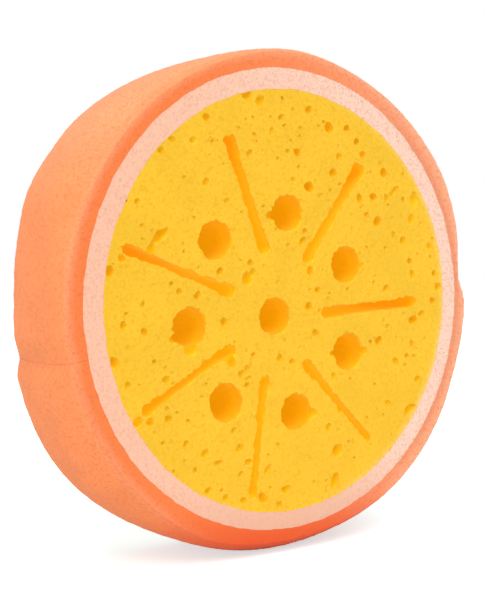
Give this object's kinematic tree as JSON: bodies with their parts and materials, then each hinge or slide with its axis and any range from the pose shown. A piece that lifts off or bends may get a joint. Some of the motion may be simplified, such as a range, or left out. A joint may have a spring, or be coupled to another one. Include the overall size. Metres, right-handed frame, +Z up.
{
  "type": "bath sponge",
  "caption": "Round fruit-slice bath sponge of laminated foam: a pored core with punched holes and radial slits, a pale ring and an orange rind.",
  "frame": {"origin": "bottom centre of the bounding box, on the small flat of the rim that the sponge stands on", "axes": "+Z up; the disc's axis lies along Y, its front (the face in the picture) faces -Y, and +X is to the right seen from the front"},
  "size_m": [0.1304, 0.027, 0.129],
  "materials": {
    "core_foam": "matte",
    "pith_foam": "matte",
    "rind_foam": "matte"
  },
  "bodies": {
    "root": {"core": "core_foam", "pith_ring": "pith_foam", "rind_upper": "rind_foam", "rind_lower": "rind_foam"}
  },
  "joints": []
}
